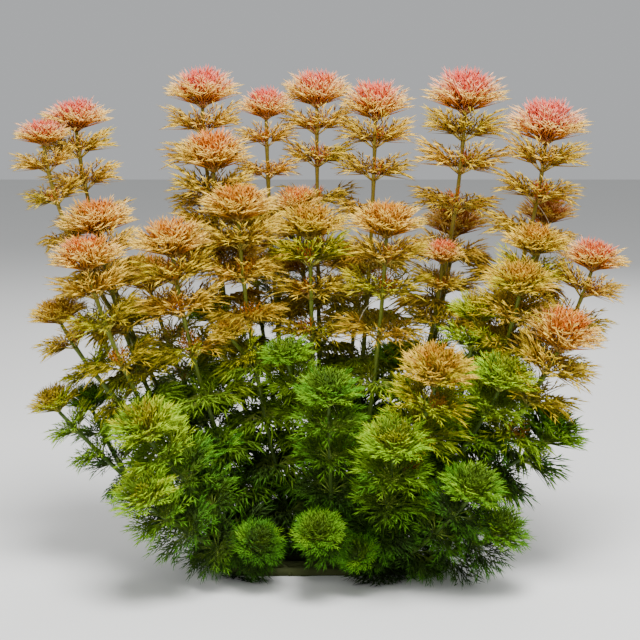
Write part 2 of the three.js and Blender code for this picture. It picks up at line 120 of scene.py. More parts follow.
# Where whorls grow, as in the solids: the internodes from the tip down and the lowest node's height, in
# millimetres, and the share of a stem that stays bare at its foot
FIRST_INTERNODE = 16
INTERNODE_GROWTH = 1.25
LONGEST_INTERNODE = 30
LOWEST_NODE = 5.6
BARE_PART = 0.01
GOLDEN_ANGLE = math.radians(137.5)
GOLDEN_ANGLES_PER_SHOOT = 3

# A whorl's age is the number of whorls above it on its stem. Old ones have more leaves and reach wider. Its
# radius follows from that of the stem's crown.
OLD_FROM = 3
LEAVES_PER_WHORL = 10
LEAVES_PER_OLD_WHORL = 12
WHORL_PER_CROWN = 1.1
OLD_SPREAD = 1.1

# How many different leaves are drawn of each sort
LEAF_KINDS = 5

# No leaf or root hangs lower than this, in millimetres
LOWEST_TIP = 1.2

# A whorl's leaf by age: where it bends and ends, as (out, up) in whorl radii, and how far its rays rise
WHORL_POSTURES = [
    {"bend": (0.44, 0.42), "end": (1.12, 0.22), "lift": 0.75},
    {"bend": (0.45, 0.42), "end": (1.12, 0.10), "lift": 0.75},
    {"bend": (0.45, 0.43), "end": (1.07, -0.04), "lift": 0.65},
    {"bend": (0.44, 0.44), "end": (0.97, -0.18), "lift": 0.5},
    {"bend": (0.46, 0.42), "end": (0.92, -0.34), "lift": 0.4},
]

# How much the leaves of a whorl differ: their turn as a share of the space between two, the height of their
# end, their lift, roll and size, and how much paler they are; below zero, grown whorl leaves are drawn darker
# than the crowns as painted shade. Fresh ones are paler again. They start inside the stem, at a share of its
# radius.
WHORL_TURN_PLAY = 0.16
WHORL_END_PLAY = 0.06
WHORL_LIFT_PLAY = 0.08
WHORL_SIZES = (0.9, 1.04)
WHORL_PALER = (-0.2, -0.05)
FRESH_PALER = 0.28
LEAF_ROLL_PLAY = 0.2
WHORL_LEAF_START = 0.7

# A crown's layers from the outside in: how many leaves, where they bend and end, how far their rays rise, how
# far their colour turns from the crown's own to gold, and how much paler they are. The outer layers' golder,
# paler colour is partly their own and partly painted light on the crown's lower half.
CROWN_LAYERS = [
    {"leaves": 10, "bend": (0.50, 0.44), "end": (1.16, 0.38), "lift": 0.5, "gold": 0.75, "paler": 0.25},
    {"leaves": 8, "bend": (0.42, 0.58), "end": (1.03, 0.70), "lift": 0.5, "gold": 0.45, "paler": 0.1},
    {"leaves": 7, "bend": (0.26, 0.62), "end": (0.70, 1.02), "lift": 0.4, "gold": 0.1, "paler": -0.12},
    {"leaves": 6, "bend": (0.12, 0.60), "end": (0.34, 1.20), "lift": 0.25, "gold": -0.1, "paler": -0.25},
]

# How much the leaves of a crown differ, in the same way, and how far from the stem's middle they start, in
# millimetres
CROWN_TURN_PLAY = 0.2
CROWN_REACHES = (0.96, 1.03)
CROWN_END_PLAY = 0.02
CROWN_LIFT_PLAY = 0.05
CROWN_PALER_PLAY = (-0.05, 0.08)
CROWN_LEAF_START = 0.3

# Crowns that the photo shows flatter than the rest, by shoot: how tall they stand, as a share
FLATTER_CROWNS = {1: 0.8, 8: 0.86, 9: 0.86, 10: 0.82, 11: 0.86, 12: 0.8, 13: 0.82, 14: 0.8, 15: 0.84}

# How far the crown of a leaning shoot turns up to the light, as a share of its stem's lean
CROWN_TURNS_UP = 0.5

# The tuft of small leaves in a whorl's axils: its height in crown radii, its tilt in degrees, how its leaves
# stand in tuft heights, and where they start in stem radii
BUD_HEIGHT = 0.7
BUD_LEAVES = 6
OLD_BUD_HEIGHT = 0.86
OLD_BUD_LEAVES = 7
BUD_TILT = 24
BUD_BEND = (0.14, 0.5)
BUD_ENDS_OUT = (0.2, 0.6)
BUD_ENDS_UP = (0.8, 1.0)
BUD_LIFT = 0.3
BUD_PALER = -0.2
BUD_LEAF_START = 0.5

# How warm the colours are. The grown leaves of a whorl follow their height in millimetres, from deep green
# to ochre; the dark deep green low down is partly the older leaves' own colour and partly painted shade.
# Young ones follow their shoot, up to ochre. The tufts of warm shoots are often orange or red. The outer
# layers of a crown turn to gold, partly their own colour and partly painted light on the crown's lower half.
GROWN_AND_SHADED_WARMTHS = (0.03, 0.47)
GROWN_HEIGHTS = (10, 190)
FRESH_SHARES = (0.5, 1)
FRESH_SHOOTS = (0.2, 0.6)
YOUNG_WARMTH = 0.8
WARMEST_YOUNG = 0.5
LEAST_YOUNG = 0.1
YOUNG_PER_FRESH = 0.7
WARM_SHOOT = 0.5
RED_BUD_SHARE = 0.6
RED_BUD_WARMTHS = (0.56, 0.78)
RED_BUD_HEIGHTS = (90, 230)
GOLD = 0.53
GOLD_PER_CROWN = 0.88
WHORL_WARMTH_PLAY = 0.024
WHORL_LEAF_WARMTH_PLAY = 0.025
CROWN_LEAF_WARMTH_PLAY = 0.035
RED_BUD_WARMTH_PLAY = 0.03
BUD_LEAF_WARMTH_PLAY = 0.02

# Every random choice is drawn from here, one after the other
SEED = 7
chance = np.random.default_rng(SEED)

# Places along a path take their side from Y, or from X where the path crosses Y by less than this
LEAST_CROSS = 0.2


def millimetres(*values):
    return Vector(values) * MM


def between(low, high, part):
    return low + (high - low) * part


def smooth_part(value, low, high):
    """How far a value has come from low to high, from 0 to 1, slow at both ends."""
    part = min(max((value - low) / (high - low), 0.0), 1.0)
    return part * part * (3 - 2 * part)


def place_along(point, axis, side):
    """The place at a point whose Z runs along an axis and whose X points to a side."""
    ahead = axis.cross(side)
    return Matrix([[side[k], ahead[k], axis[k], point[k]] for k in range(3)] + [[0, 0, 0, 1]])


def places_along(points):
    """A place at each point, with Z along the path."""
    places = []
    for i, point in enumerate(points):
        axis = (points[min(i + 1, len(points) - 1)] - points[max(i - 1, 0)]).normalized()
        side = Vector((0, 1, 0)).cross(axis)
        if side.length <= LEAST_CROSS:
            side = Vector((1, 0, 0)).cross(axis)
        places.append(place_along(point, axis, side.normalized()))
    return places


def add_object(name, content):
    """A new object in the scene, at the origin."""
    added = bpy.data.objects.new(name, content)
    bpy.context.scene.collection.objects.link(added)
    return added


def linear(hex_colour):
    """A colour from a hex string, by the sRGB curve in the linear values that a shader takes."""
    parts = [int(hex_colour[i:i + 2], 16) / 255 for i in (0, 2, 4)]
    return [*(p / 12.92 if p <= 0.04045 else ((p + 0.055) / 1.055) ** 2.4 for p in parts), 1.0]


# Stems

class Stem:
    """A stem's curve, walked by its length as in the solids."""

    def __init__(self, foot, tip, turn, crown, warmth, is_side):
        tall = smooth_part(tip.z, LOW_SHOOT * MM, TALL_SHOOT * MM)
        lean, rise = between(*LEANS, tall), between(*BENDS, tall)
        bend = Vector([between(low, high, part) for low, high, part in zip(foot, tip, (lean, lean, rise))])
        t = np.linspace(0, 1, CURVE_STEPS)[:, None]
        curve = (1 - t) ** 2 * np.array(foot) + 2 * t * (1 - t) * np.array(bend) + t * t * np.array(tip)
        steps = np.linalg.norm(np.diff(curve, axis=0), axis=1)
        self.curve = curve
        self.walked = np.concatenate([[0], np.cumsum(steps)])
        self.length = float(self.walked[-1])
        self.turn = turn
        self.crown = crown * MM
        self.warmth = warmth
        self.is_side = is_side

    def point(self, part):
        at = min(max(part, 0), 1) * self.length
        return Vector([float(np.interp(at, self.walked, self.curve[:, k])) for k in range(3)])

    def spot(self, part):
        """The place at a part of the stem: its Z runs along the stem."""
        axis = (self.point(part + AXIS_REACH) - self.point(part - AXIS_REACH)).normalized()
        start = Vector((math.cos(self.turn), math.sin(self.turn), 0))
        side = (start - axis * start.dot(axis)).normalized()
        return place_along(self.point(part), axis, side)

    def radius(self, part):
        return between(STEM_FOOT_RADIUS, STEM_TIP_RADIUS, part) * MM

    def nodes(self):
        """The parts of the stem where whorls grow, from the youngest down, with their ages."""
        found = []
        internode = FIRST_INTERNODE * MM
        down = internode
        while down < self.length * (1 - BARE_PART):
            part = 1 - down / self.length
            if self.point(part).z < LOWEST_NODE * MM:
                break
            found.append((part, len(found)))
            internode = min(internode * INTERNODE_GROWTH, LONGEST_INTERNODE * MM)
            down += internode
        return found


def grow_stems():
    """For each shoot, its main stem and the side shoots that leave it."""
    grown = []
    for owner, shoot in enumerate(SHOOTS):
        turn = GOLDEN_ANGLE * GOLDEN_ANGLES_PER_SHOOT * owner
        main = Stem(
            millimetres(*shoot["foot"], STEM_FOOT_HEIGHT), millimetres(*shoot["tip"]),
            turn, shoot["crown"], shoot["warmth"], False,
        )
        own = [main]
        for side in shoot["sides"]:
            own.append(Stem(
                main.point(side["at"]), millimetres(*side["tip"]),
                turn + GOLDEN_ANGLE, side["crown"], side["warmth"], True,
            ))
        grown.append(own)
    return grown


# Leaves

# A leaf is drawn flat and straight, one unit long, then bent along its arch where it grows. Three layers go
# with its points: shade runs from 0 on the bare foot to 1 at the tips, rise is how far a point climbs above
# the leaf's middle, and spread moves it a little sideways on the colour map.
LEAF_LAYERS = ("shade", "rise", "spread")

# A ray's shade if it started at the stem, how far the spread moves a point on the map, and the map's edges
FOOT_SHADE = 0.1
MAP_SPREAD = 0.012
MAP_LIMITS = (0.01, 0.99)

# The rays that a leaf parts into at the end of its bare foot: angle in degrees, length and how steeply each
# climbs
GROWN_RAYS = [(-31, 0.66, 0.30), (29, 0.68, 0.42), (-1, 0.72, 0.02), (-15, 0.66, 1.0), (15, 0.64, 0.75)]
YOUNG_RAYS = [(-25, 0.76, 0.3), (24, 0.77, 0.4), (-7, 0.79, 0.06), (9, 0.76, 0.65)]
OLD_RAYS = [(-28, 0.66, 0.35), (27, 0.68, 0.45), (-6, 0.72, 0.05), (9, 0.66, 0.9)]
BUD_RAYS = [(-18, 0.74, 0.4), (14, 0.78, 0.5)]
GROWN_FOOT = 0.27
YOUNG_FOOT = 0.18

# Needles along a ray: where each leaves it, its length as a share of the ray, its lean in degrees and whether
# it forks
NEEDLES = [
    (0.18, 0.42, 36, True), (0.32, 0.41, -34, True), (0.47, 0.38, 31, True), (0.59, 0.35, -29, True),
    (0.71, 0.29, 26, False), (0.81, 0.22, -25, False),
]
YOUNG_NEEDLES = [
    (0.28, 0.38, 34, True), (0.42, 0.38, -32, True), (0.54, 0.36, 30, True), (0.64, 0.32, -28, True),
    (0.74, 0.27, 26, False), (0.83, 0.21, -25, False),
]
OLD_NEEDLES = [
    (0.32, 0.46, 33, True), (0.46, 0.44, -32, True), (0.61, 0.37, 28, False), (0.75, 0.28, -26, False),
]

# Every part of a leaf is three-sided. How thick it is where it starts, as a radius in leaf lengths, and how
# much thicker the rays and needles of old leaves are
NEEDLE_SIDES = 3
RAY_THICKNESS = 0.0175
NEEDLE_THICKNESS = 0.0185
FOOT_THICKNESS = 0.016
OLD_THICKNESS = 1.45

# How far back in the bare foot a ray starts, in leaf lengths
RAY_OVERLAP = 0.03

# How much rays and needles differ: angles in degrees, lengths as shares
RAY_ANGLE_PLAY = 4
RAY_LENGTHS = (0.92, 1.06)
NEEDLE_ANGLE_PLAY = 6
NEEDLE_LENGTHS = (0.9, 1.1)
NEEDLE_CLIMBS = (-0.15, 0.4)

# Where along a needle its fork leaves it, the fork's length as a share of the needle's, and its angle in
# degrees, which differs by a share
FORK_AT = 0.45
FORK_LENGTH = 0.5
FORK_ANGLE = 21
FORK_OPENINGS = (0.7, 1.2)


def set_layers(bm, verts, shades, rises):
    """Gives an upright segment its shade and rise, below and above, and spreads its points on the map."""
    shade, rise, spread = (bm.verts.layers.float[name] for name in LEAF_LAYERS)
    middle = sum(v.co.z for v in verts) / len(verts)
    for i, vert in enumerate(verts):
        above = vert.co.z > middle
        vert[shade] = shades[above]
        vert[rise] = rises[above]
        vert[spread] = (i % NEEDLE_SIDES - 1) / 2


def add_needle(bm, start, angle, length, thick, shades, rises):
    """One straight segment of a leaf, three-sided and pointed."""
    made = bmesh.ops.create_cone(
        bm, cap_ends=True, segments=NEEDLE_SIDES, radius1=thick, radius2=0, depth=length
    )["verts"]
    set_layers(bm, made, shades, rises)
    heading = Vector((math.cos(angle), math.sin(angle), 0))
    turn = heading.to_track_quat("Z", "Y").to_matrix().to_4x4()
    place = Matrix.Translation(start) @ turn @ Matrix.Translation((0, 0, length / 2))
    bmesh.ops.transform(bm, matrix=place, verts=made)
    return heading


def shade_at(far):
    """How far along the leaf's colours a point is, at a distance from the stem."""
    return min(1.0, between(FOOT_SHADE, 1, far))


def add_ray(bm, foot, ray, needles, thick):
    """One ray of a leaf with its needles."""
    angle, length, climb = ray
    angle = math.radians(angle + chance.uniform(-RAY_ANGLE_PLAY, RAY_ANGLE_PLAY))
    length *= chance.uniform(*RAY_LENGTHS)
    start = Vector((foot - RAY_OVERLAP, 0, 0))
    shades = (shade_at(foot), shade_at(foot + length))
    heading = add_needle(bm, start, angle, length, RAY_THICKNESS * thick, shades, (0, climb * length))
    for along, share, lean, forks in needles:
        at = start + heading * length * along
        reach = length * share * chance.uniform(*NEEDLE_LENGTHS)
        turn = angle + math.radians(lean + chance.uniform(-NEEDLE_ANGLE_PLAY, NEEDLE_ANGLE_PLAY))
        near = foot + length * along
        far = near + reach
        rise = climb * length * along
        own_climb = climb + chance.uniform(*NEEDLE_CLIMBS)
        rises = (rise, rise + own_climb * reach)
        side = add_needle(
            bm, at, turn, reach, NEEDLE_THICKNESS * thick, (shade_at(near), shade_at(far)), rises
        )
        if forks:
            away = turn + math.radians(math.copysign(FORK_ANGLE, lean) * chance.uniform(*FORK_OPENINGS))
            rise = between(*rises, FORK_AT)
            fork, fork_length = reach * FORK_AT, reach * FORK_LENGTH
            add_needle(
                bm, at + side * fork, away, fork_length, NEEDLE_THICKNESS * thick,
                (shade_at(near + fork), shade_at(far)), (rise, rise + own_climb * fork_length),
            )


def leaf_template(rays, needles, foot, thick=1.0):
    """One feathery leaf as arrays: points along, across and proud of it, its layers and its triangles."""
    bm = bmesh.new()
    for name in LEAF_LAYERS:
        bm.verts.layers.float.new(name)
    made = bmesh.ops.create_cone(
        bm, cap_ends=True, segments=NEEDLE_SIDES, radius1=FOOT_THICKNESS, radius2=RAY_THICKNESS, depth=foot
    )["verts"]
    set_layers(bm, made, (0.0, shade_at(foot)), (0, 0))
    turn = Matrix.Rotation(math.radians(90), 4, "Y")
    bmesh.ops.transform(bm, matrix=turn @ Matrix.Translation((0, 0, foot / 2)), verts=bm.verts)
    for ray in rays:
        add_ray(bm, foot, ray, needles, thick)
    bmesh.ops.triangulate(bm, faces=bm.faces)
    bm.verts.index_update()
    template = {
        "at": np.array([v.co for v in bm.verts]),
        "faces": np.array([[v.index for v in f.verts] for f in bm.faces]),
    }
    for name in LEAF_LAYERS:
        layer = bm.verts.layers.float[name]
        template[name] = np.array([v[layer] for v in bm.verts])
    bm.free()
    return template


def bend_leaf(leaf, spot, azimuth, size, posture, roll, start):
    """A leaf's points where it grows: bent along its arch, out from the stem."""
    along, across = leaf["at"][:, 0], leaf["at"][:, 1]
    proud = leaf["at"][:, 2] + posture["lift"] * leaf["rise"]
    turned = across * math.cos(roll) - proud * math.sin(roll)
    proud = across * math.sin(roll) + proud * math.cos(roll)
    (bend_out, bend_up), (end_out, end_up) = posture["bend"], posture["end"]
    out = 2 * along * (1 - along) * bend_out + along**2 * end_out
    up = 2 * along * (1 - along) * bend_up + along**2 * end_up
    out_step = 2 * (1 - 2 * along) * bend_out + 2 * along * end_out
    up_step = 2 * (1 - 2 * along) * bend_up + 2 * along * end_up
    step = np.hypot(out_step, up_step)
    out = start + size * (out - proud * up_step / step)
    up = size * (up + proud * out_step / step)
    sideways = size * turned
    local = np.stack([
        out * math.cos(azimuth) - sideways * math.sin(azimuth),
        out * math.sin(azimuth) + sideways * math.cos(azimuth),
        up,
    ], axis=1)
    placed = np.array(spot)
    return local @ placed[:3, :3].T + placed[:3, 3]


class Foliage:
    """Leaves gathered for one piece."""

    def __init__(self):
        self.points, self.faces, self.maps = [], [], []
        self.count = 0

    def add(self, leaf, points, warmth, paler):
        """Adds a leaf at its points, with its colours from its warmth and how much paler it is."""
        points[:, 2] = np.maximum(points[:, 2], LOWEST_TIP * MM)
        self.points.append(points)
        self.faces.append(leaf["faces"] + self.count)
        self.count += len(points)
        across = np.clip(warmth + MAP_SPREAD * leaf["spread"], *MAP_LIMITS)
        along = np.clip(leaf["shade"] + paler * leaf["shade"], *MAP_LIMITS)
        self.maps.append(np.stack([across, along], axis=1))

    def piece(self, name, material):
        return mesh_piece(
            name, np.concatenate(self.points), np.concatenate(self.faces), np.concatenate(self.maps), material
        )


def mesh_piece(name, points, faces, maps, material):
    """A finished piece from arrays, with its colour map."""
    mesh = bpy.data.meshes.new(name)
    mesh.from_pydata(points.tolist(), [], faces.tolist())
    colour_map = mesh.uv_layers.new(name="OFBake")
    corners = np.empty(len(mesh.loops), int)
    mesh.loops.foreach_get("vertex_index", corners)
    colour_map.data.foreach_set("uv", maps[corners].astype(np.float32).ravel())
    mesh.polygons.foreach_set("use_smooth", [True] * len(mesh.polygons))
    mesh.materials.append(material)
    mesh.update()
    return add_object(name, mesh)


def warmth_by_height(warmths, z, heights):
    """A warmth that passes from one value to another between two heights in millimetres."""
    low, high = heights
    return between(*warmths, smooth_part(z, low * MM, high * MM))


def whorl_warmth(stem, height, fresh):
    """A whorl's warmth: that of grown leaves at its height, their deep green low down partly painted shade,
    and nearer to its shoot's where it is fresh.
    """
    # The grown leaves' deep green low down is partly their own older colour and partly painted shade
    grown = warmth_by_height(GROWN_AND_SHADED_WARMTHS, height, GROWN_HEIGHTS)
    young = min(stem.warmth * YOUNG_WARMTH, WARMEST_YOUNG)
    warmth = between(grown, young, LEAST_YOUNG + YOUNG_PER_FRESH * fresh)
    return warmth + chance.normal(0, WHORL_WARMTH_PLAY)


def add_ring_of_leaves(foliage, stem, part, age, warmth, fresh):
    """The leaves round a node, each a little different."""
    spot = stem.spot(part)
    posture = WHORL_POSTURES[min(age, len(WHORL_POSTURES) - 1)]
    old = age >= OLD_FROM
    size = stem.crown * WHORL_PER_CROWN * (OLD_SPREAD if old else 1)
    start = stem.radius(part) * WHORL_LEAF_START
    kinds = old_leaves if old else grown_leaves
    count = LEAVES_PER_OLD_WHORL if old else LEAVES_PER_WHORL
    first = chance.uniform(0, 2 * math.pi)
    for i in range(count):
        leaf = kinds[chance.integers(LEAF_KINDS)]
        azimuth = first + 2 * math.pi * (i + chance.uniform(-WHORL_TURN_PLAY, WHORL_TURN_PLAY)) / count
        end_out, end_up = posture["end"]
        own = {
            "bend": posture["bend"],
            "end": (end_out, end_up + chance.normal(0, WHORL_END_PLAY)),
            "lift": posture["lift"] + chance.normal(0, WHORL_LIFT_PLAY),
        }
        own_size = size * chance.uniform(*WHORL_SIZES)
        roll = chance.normal(0, LEAF_ROLL_PLAY)
        points = bend_leaf(leaf, spot, azimuth, own_size, own, roll, start)
        own_warmth = warmth + chance.normal(0, WHORL_LEAF_WARMTH_PLAY)
        # Below zero, paler draws grown whorl leaves darker than the crowns, as painted shade
        foliage.add(leaf, points, own_warmth, chance.uniform(*WHORL_PALER) + FRESH_PALER * fresh)


def add_whorl(foliage, stem, part, age):
    """The ring of leaves at a node, with the tuft in its axils."""
    height = stem.point(part).z
    old = age >= OLD_FROM
    fresh = max(0.0, 1 - age / OLD_FROM) * between(*FRESH_SHARES, smooth_part(stem.warmth, *FRESH_SHOOTS))
    warmth = whorl_warmth(stem, height, fresh)
    add_ring_of_leaves(foliage, stem, part, age, warmth, fresh)
    if stem.warmth > WARM_SHOOT and not old and chance.random() < RED_BUD_SHARE:
        warmth = warmth_by_height(RED_BUD_WARMTHS, height, RED_BUD_HEIGHTS)
        warmth += chance.normal(0, RED_BUD_WARMTH_PLAY)
    add_bud(foliage, stem, part, warmth, old)


def add_bud(foliage, stem, part, warmth, old):
    """A tuft of small leaves in the axils of a whorl."""
    azimuth = chance.uniform(0, 2 * math.pi)
    tilt = Matrix.Rotation(azimuth, 4, "Z") @ Matrix.Rotation(math.radians(BUD_TILT), 4, "Y")
    spot = stem.spot(part) @ tilt
    height = stem.crown * (OLD_BUD_HEIGHT if old else BUD_HEIGHT)
    count = OLD_BUD_LEAVES if old else BUD_LEAVES
    for i in range(count):
        leaf = bud_leaves[chance.integers(LEAF_KINDS)]
        end = (chance.uniform(*BUD_ENDS_OUT), chance.uniform(*BUD_ENDS_UP))
        own = {"bend": BUD_BEND, "end": end, "lift": BUD_LIFT}
        azimuth = 2 * math.pi * i / count
        points = bend_leaf(leaf, spot, azimuth, height, own, 0.0, stem.radius(part) * BUD_LEAF_START)
        foliage.add(leaf, points, warmth + chance.normal(0, BUD_LEAF_WARMTH_PLAY), BUD_PALER)


def turned_up(spot, share):
    """The same place with its Z turned a share of the way to straight up."""
    whole_turn = spot.to_3x3().col[2].rotation_difference(Vector((0, 0, 1)))
    turn = Quaternion().slerp(whole_turn, share).to_matrix()
    return Matrix.Translation(spot.translation) @ (turn @ spot.to_3x3()).to_4x4()


def add_crown(foliage, stem, height):
    """The tuft of young leaves at a stem's tip, its height a share of the usual."""
    spot = turned_up(stem.spot(1.0), CROWN_TURNS_UP)
    first = chance.uniform(0, 2 * math.pi)
    for layer in CROWN_LAYERS:
        first += GOLDEN_ANGLE
        # Golder, paler outer layers are partly their own colour and partly painted light low on the crown
        warmth = between(stem.warmth, min(stem.warmth * GOLD_PER_CROWN, GOLD), layer["gold"])
        (bend_out, bend_up), (end_out, end_up) = layer["bend"], layer["end"]
        for i in range(layer["leaves"]):
            leaf = young_leaves[chance.integers(LEAF_KINDS)]
            turn = i + chance.uniform(-CROWN_TURN_PLAY, CROWN_TURN_PLAY)
            azimuth = first + 2 * math.pi * turn / layer["leaves"]
            reach = chance.uniform(*CROWN_REACHES)
            own = {
                "bend": (bend_out, bend_up * height),
                "end": (end_out * reach, end_up * height * reach + chance.normal(0, CROWN_END_PLAY)),
                "lift": layer["lift"] + chance.normal(0, CROWN_LIFT_PLAY),
            }
            roll = chance.normal(0, LEAF_ROLL_PLAY)
            points = bend_leaf(leaf, spot, azimuth, stem.crown, own, roll, CROWN_LEAF_START * MM)
            own_warmth = warmth + chance.normal(0, CROWN_LEAF_WARMTH_PLAY)
            foliage.add(leaf, points, own_warmth, layer["paler"] + chance.uniform(*CROWN_PALER_PLAY))


# Stalks

# A stalk has a ring every few millimetres and at every node, where it is thicker. No other ring is closer to
# the one before than a share of its length. A main stem starts a little inside the rootstock.
STALK_SIDES = 8
STALK_STEP = 7
FEWEST_RINGS = 6
CLOSEST_RINGS = 0.004
STALK_SUNK = 0.4
NODE_SWELL = 1.1
STALK_SLIM = 0.9

# Its colour warms between two heights in millimetres, and its shade changes round it
STALK_HEIGHTS = (40, 220)
COOLEST_STALK = 0.05
WARMEST_STALK = 0.5
STALK_WARMTH = 0.6
STALK_SHADES = (0.25, 0.75)


def add_tube(bm, places, radii, sides):
    """A closed tube through places whose Z runs along it. Gives back its rings."""
    sized = [place @ Matrix.Diagonal((radius, radius, 1, 1)) for place, radius in zip(places, radii)]
    ring = bmesh.ops.create_circle(bm, cap_ends=False, segments=sides, radius=1, matrix=sized[0])["verts"]
    edges = list({e for v in ring for e in v.link_edges})
    first = edges
    rings = [ring]
    for before, after in zip(sized, sized[1:]):
        made = bmesh.ops.extrude_edge_only(bm, edges=edges)["geom"]
        ring = [g for g in made if isinstance(g, bmesh.types.BMVert)]
        edges = [g for g in made if isinstance(g, bmesh.types.BMEdge) and all(v in ring for v in g.verts)]
        bmesh.ops.transform(bm, matrix=after @ before.inverted(), verts=ring)
        rings.append(ring)
    bmesh.ops.contextual_create(bm, geom=first)
    bmesh.ops.contextual_create(bm, geom=edges)
    return rings


def add_stalk(bm, colour, stem):
    """One stem, a little thicker at each node."""
    nodes = [part for part, _ in stem.nodes()]
    count = max(FEWEST_RINGS, round(stem.length / (STALK_STEP * MM)))
    parts = sorted({*np.linspace(0, 1, count).tolist(), *nodes})
    parts = [p for i, p in enumerate(parts) if i == 0 or p - parts[i - 1] > CLOSEST_RINGS or p in nodes]
    radii = [stem.radius(p) * (NODE_SWELL if p in nodes else STALK_SLIM) for p in parts]
    places = [stem.spot(p) for p in parts]
    if not stem.is_side:
        places[0] = Matrix.Translation(stem.point(0) - millimetres(0, 0, STALK_SUNK))
    rings = add_tube(bm, places, radii, STALK_SIDES)
    warmths = (COOLEST_STALK, min(WARMEST_STALK, stem.warmth * STALK_WARMTH))
    for part, ring in zip(parts, rings):
        warmth = warmth_by_height(warmths, stem.point(part).z, STALK_HEIGHTS)
        for i, vert in enumerate(ring):
            vert[colour] = (warmth, between(*STALK_SHADES, abs(2 * i / STALK_SIDES - 1)), 0)


def stalk_piece(name, stems, material):
    """A shoot's main stem and the stems of its side shoots."""
    bm = bmesh.new()
    colour = bm.verts.layers.float_vector.new("colour")
    for stem in stems:
        add_stalk(bm, colour, stem)
    bmesh.ops.triangulate(bm, faces=bm.faces)
    bmesh.ops.recalc_face_normals(bm, faces=bm.faces)
    bm.verts.index_update()
    points = np.array([v.co for v in bm.verts])
    maps = np.array([v[colour] for v in bm.verts])[:, :2]
    faces = np.array([[v.index for v in f.verts] for f in bm.faces])
    bm.free()
    return mesh_piece(name, points, faces, maps, material)


# Hanging roots

# Thin pale roots hang from some nodes, with radius and lengths in millimetres. They start at a share of the
# stem's radius. How far out and down a root comes has a straight term and a squared one, in its own lengths.
ROOTY_SHARE = 0.2
ROOT_START = 0.5
ROOT_RADIUS = 0.32
ROOT_TAPER = 0.55
ROOT_SIDES = 4
ROOT_STEPS = 9
ROOT_LENGTHS = (15, 36)
ROOT_WAVES = (1, 2.2)
ROOT_SWINGS = (0.04, 0.09)
ROOT_OUT = (0.75, -0.25)
ROOT_DOWN = (0.1, 0.75)


def add_root(bm, spot, start):
    """One root: it leaves the stem sideways, then droops with a wave or two."""
    azimuth = chance.uniform(0, 2 * math.pi)
    length = chance.uniform(*ROOT_LENGTHS) * MM
    away = Vector((math.cos(azimuth), math.sin(azimuth), 0))
    aside = Vector((-away.y, away.x, 0))
    waves = chance.uniform(*ROOT_WAVES)
    swing = chance.uniform(*ROOT_SWINGS) * length
    middle = spot.translation + away * start
    points = []
    for t in np.linspace(0, 1, ROOT_STEPS):
        out = length * (ROOT_OUT[0] * t + ROOT_OUT[1] * t * t)
        down = length * (ROOT_DOWN[0] * t + ROOT_DOWN[1] * t * t)
        at = middle + away * out + aside * swing * math.sin(waves * math.pi * t)
        points.append(Vector((at.x, at.y, max(at.z - down, LOWEST_TIP * MM))))
    radii = [ROOT_RADIUS * MM * (1 - ROOT_TAPER * i / (ROOT_STEPS - 1)) for i in range(ROOT_STEPS)]
    add_tube(bm, places_along(points), radii, ROOT_SIDES)


def finished_piece(bm, name, material):
    """A finished piece from a bmesh, smooth all over."""
    bmesh.ops.triangulate(bm, faces=bm.faces)
    bmesh.ops.recalc_face_normals(bm, faces=bm.faces)
    for face in bm.faces:
        face.smooth = True
    mesh = bpy.data.meshes.new(name)
    bm.to_mesh(mesh)
    bm.free()
    mesh.materials.append(material)
    return add_object(name, mesh)


def hanging_roots(name, stems, material):
    """The thin roots of a shoot, or nothing where it has none."""
    bm = bmesh.new()
    for stem in stems:
        for part, age in stem.nodes():
            if age > 0 and chance.random() < ROOTY_SHARE:
                add_root(bm, stem.spot(part), stem.radius(part) * ROOT_START)
    if bm.verts:
        return finished_piece(bm, name, material)
    bm.free()
    return None


# Rootstock

# Creeping stems in millimetres, one through each row of feet, and thinner ones that join the rows
RUNNERS = [
    [(-36, 22), (-10, 26), (8, 26), (36, 22)],
    [(-50, 9), (-11, 14), (15, 14), (51, 8)],
    [(-56, -1), (-13, 1), (16, 1), (57, -4)],
    [(-63, -5), (-42, -13), (21, -14), (63, -15)],
    [(-48, -23), (-28, -27), (34, -25), (52, -22)],
]
CROSS_RUNNERS = [
    [(-20, 29), (-24, 1), (-18, -30)],
    [(24, 29), (26, 1), (22, -30)],
]
RUNNER_RADIUS = 3.2
CROSS_RUNNER_RADIUS = 2.3
RUNNER_SIDES = 10
RUNNER_STEPS = 36
RUNNER_NODES = 7

# How slim a creeping stem is between its nodes and at its ends, as shares of its radius, and how quickly it
# grows thicker at both
RUNNER_SLIM = 0.82
RUNNER_END = 0.45
NODE_SHARPNESS = 6
END_GROWTH = 6

# How high a creeping stem's middle lies above the cut, in its own radii
RUNNER_HEIGHT = 0.55


def add_runner(bm, spots, radius):
    """A creeping stem, swollen at its nodes and thinner at its ends."""
    given = np.linspace(0, 1, len(spots))
    along = np.linspace(0, 1, RUNNER_STEPS)
    x, y = (np.polyval(np.polyfit(given, values, len(spots) - 1), along) for values in zip(*spots))
    points = [millimetres(px, py, radius * RUNNER_HEIGHT) for px, py in zip(x, y)]
    swell = np.abs(np.cos(along * math.pi * RUNNER_NODES)) ** NODE_SHARPNESS
    ends = np.minimum(1, RUNNER_END + END_GROWTH * np.minimum(along, 1 - along))
    radii = radius * MM * between(RUNNER_SLIM, 1, swell) * ends
    add_tube(bm, places_along(points), radii, RUNNER_SIDES)


def rootstock_piece(material):
    """All creeping stems, cut off level at the ground."""
    bm = bmesh.new()
    for spots in RUNNERS:
        add_runner(bm, spots, RUNNER_RADIUS)
    for spots in CROSS_RUNNERS:
        add_runner(bm, spots, CROSS_RUNNER_RADIUS)
    everything = bm.verts[:] + bm.edges[:] + bm.faces[:]
    cut = bmesh.ops.bisect_plane(
        bm, geom=everything, plane_co=(0, 0, 0), plane_no=(0, 0, -1), clear_outer=True
    )["geom_cut"]
    bmesh.ops.holes_fill(bm, edges=[g for g in cut if isinstance(g, bmesh.types.BMEdge)], sides=0)
    return finished_piece(bm, "rootstock_bark", material)
